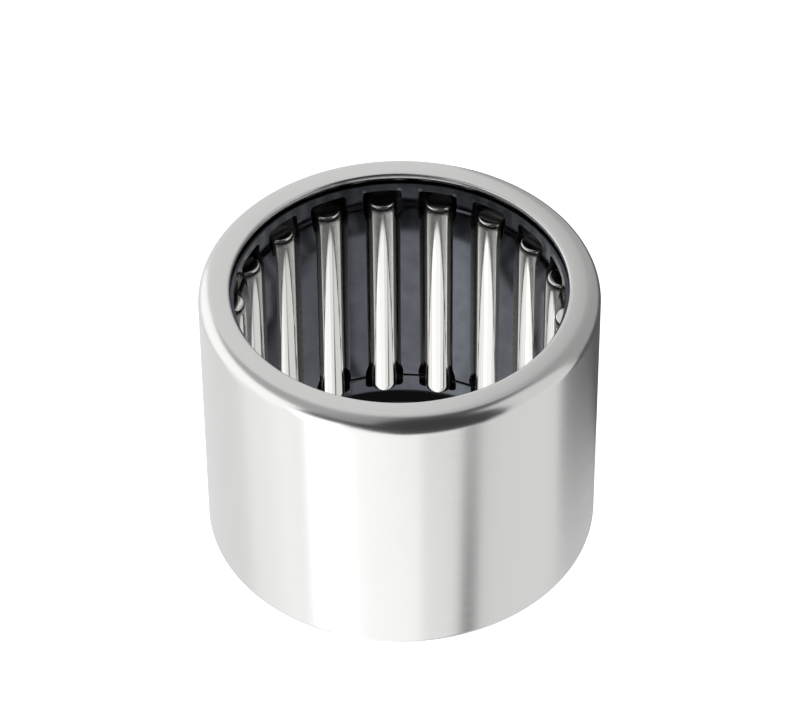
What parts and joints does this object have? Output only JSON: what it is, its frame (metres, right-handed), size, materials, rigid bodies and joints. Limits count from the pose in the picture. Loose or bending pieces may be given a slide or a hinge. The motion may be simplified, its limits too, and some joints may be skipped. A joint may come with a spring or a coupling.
{
  "type": "needle roller bearing",
  "caption": "Open-ended drawn-cup needle roller bearing: a thin steel cup with turned-in lips holds a caged ring of long, slim rollers that run directly on a shaft.",
  "frame": {"origin": "middle of the bearing, on the shaft axis and half-way between the two end faces", "axes": "+Z along the shaft axis; the first needle lies on the +X side"},
  "size_m": [0.026, 0.026, 0.02],
  "materials": {
    "cup": "satin ground hardened sheet steel",
    "cage": "blue-black oxidised sheet steel, satin",
    "needles": "fine ground and polished bearing steel"
  },
  "bodies": {
    "cup": {"outer_cup": "cup"},
    "cage": {"needle_cage": "cage"},
    "needle_01": {"needle_01": "needles"},
    "needle_02": {"needle_02": "needles"},
    "needle_03": {"needle_03": "needles"},
    "needle_04": {"needle_04": "needles"},
    "needle_05": {"needle_05": "needles"},
    "needle_06": {"needle_06": "needles"},
    "needle_07": {"needle_07": "needles"},
    "needle_08": {"needle_08": "needles"},
    "needle_09": {"needle_09": "needles"},
    "needle_10": {"needle_10": "needles"},
    "needle_11": {"needle_11": "needles"},
    "needle_12": {"needle_12": "needles"},
    "needle_13": {"needle_13": "needles"},
    "needle_14": {"needle_14": "needles"},
    "needle_15": {"needle_15": "needles"},
    "needle_16": {"needle_16": "needles"},
    "needle_17": {"needle_17": "needles"},
    "needle_18": {"needle_18": "needles"}
  },
  "joints": [
    {"name": "cage_spin", "type": "hinge", "parent": "cup", "child": "cage", "pos_m": [0, 0, 0], "axis": [0, 0, 1], "continuous": true},
    {"name": "needle_01_spin", "type": "hinge", "parent": "cage", "child": "needle_01", "pos_m": [0.011, 0, 0], "axis": [0, 0, 1], "continuous": true},
    {"name": "needle_02_spin", "type": "hinge", "parent": "cage", "child": "needle_02", "pos_m": [0.01034, 0.00376, 0], "axis": [0, 0, 1], "continuous": true},
    {"name": "needle_03_spin", "type": "hinge", "parent": "cage", "child": "needle_03", "pos_m": [0.00843, 0.00707, 0], "axis": [0, 0, 1], "continuous": true},
    {"name": "needle_04_spin", "type": "hinge", "parent": "cage", "child": "needle_04", "pos_m": [0.0055, 0.00953, 0], "axis": [0, 0, 1], "continuous": true},
    {"name": "needle_05_spin", "type": "hinge", "parent": "cage", "child": "needle_05", "pos_m": [0.00191, 0.01083, 0], "axis": [0, 0, 1], "continuous": true},
    {"name": "needle_06_spin", "type": "hinge", "parent": "cage", "child": "needle_06", "pos_m": [-0.00191, 0.01083, 0], "axis": [0, 0, 1], "continuous": true},
    {"name": "needle_07_spin", "type": "hinge", "parent": "cage", "child": "needle_07", "pos_m": [-0.0055, 0.00953, 0], "axis": [0, 0, 1], "continuous": true},
    {"name": "needle_08_spin", "type": "hinge", "parent": "cage", "child": "needle_08", "pos_m": [-0.00843, 0.00707, 0], "axis": [0, 0, 1], "continuous": true},
    {"name": "needle_09_spin", "type": "hinge", "parent": "cage", "child": "needle_09", "pos_m": [-0.01034, 0.00376, 0], "axis": [0, 0, 1], "continuous": true},
    {"name": "needle_10_spin", "type": "hinge", "parent": "cage", "child": "needle_10", "pos_m": [-0.011, 0, 0], "axis": [0, 0, 1], "continuous": true},
    {"name": "needle_11_spin", "type": "hinge", "parent": "cage", "child": "needle_11", "pos_m": [-0.01034, -0.00376, 0], "axis": [0, 0, 1], "continuous": true},
    {"name": "needle_12_spin", "type": "hinge", "parent": "cage", "child": "needle_12", "pos_m": [-0.00843, -0.00707, 0], "axis": [0, 0, 1], "continuous": true},
    {"name": "needle_13_spin", "type": "hinge", "parent": "cage", "child": "needle_13", "pos_m": [-0.0055, -0.00953, 0], "axis": [0, 0, 1], "continuous": true},
    {"name": "needle_14_spin", "type": "hinge", "parent": "cage", "child": "needle_14", "pos_m": [-0.00191, -0.01083, 0], "axis": [0, 0, 1], "continuous": true},
    {"name": "needle_15_spin", "type": "hinge", "parent": "cage", "child": "needle_15", "pos_m": [0.00191, -0.01083, 0], "axis": [0, 0, 1], "continuous": true},
    {"name": "needle_16_spin", "type": "hinge", "parent": "cage", "child": "needle_16", "pos_m": [0.0055, -0.00953, 0], "axis": [0, 0, 1], "continuous": true},
    {"name": "needle_17_spin", "type": "hinge", "parent": "cage", "child": "needle_17", "pos_m": [0.00843, -0.00707, 0], "axis": [0, 0, 1], "continuous": true},
    {"name": "needle_18_spin", "type": "hinge", "parent": "cage", "child": "needle_18", "pos_m": [0.01034, -0.00376, 0], "axis": [0, 0, 1], "continuous": true}
  ],
  "couplings": [
    {"joint": "needle_01_spin", "follows": "cage_spin", "ratio": -12},
    {"joint": "needle_02_spin", "follows": "cage_spin", "ratio": -12},
    {"joint": "needle_03_spin", "follows": "cage_spin", "ratio": -12},
    {"joint": "needle_04_spin", "follows": "cage_spin", "ratio": -12},
    {"joint": "needle_05_spin", "follows": "cage_spin", "ratio": -12},
    {"joint": "needle_06_spin", "follows": "cage_spin", "ratio": -12},
    {"joint": "needle_07_spin", "follows": "cage_spin", "ratio": -12},
    {"joint": "needle_08_spin", "follows": "cage_spin", "ratio": -12},
    {"joint": "needle_09_spin", "follows": "cage_spin", "ratio": -12},
    {"joint": "needle_10_spin", "follows": "cage_spin", "ratio": -12},
    {"joint": "needle_11_spin", "follows": "cage_spin", "ratio": -12},
    {"joint": "needle_12_spin", "follows": "cage_spin", "ratio": -12},
    {"joint": "needle_13_spin", "follows": "cage_spin", "ratio": -12},
    {"joint": "needle_14_spin", "follows": "cage_spin", "ratio": -12},
    {"joint": "needle_15_spin", "follows": "cage_spin", "ratio": -12},
    {"joint": "needle_16_spin", "follows": "cage_spin", "ratio": -12},
    {"joint": "needle_17_spin", "follows": "cage_spin", "ratio": -12},
    {"joint": "needle_18_spin", "follows": "cage_spin", "ratio": -12}
  ]
}
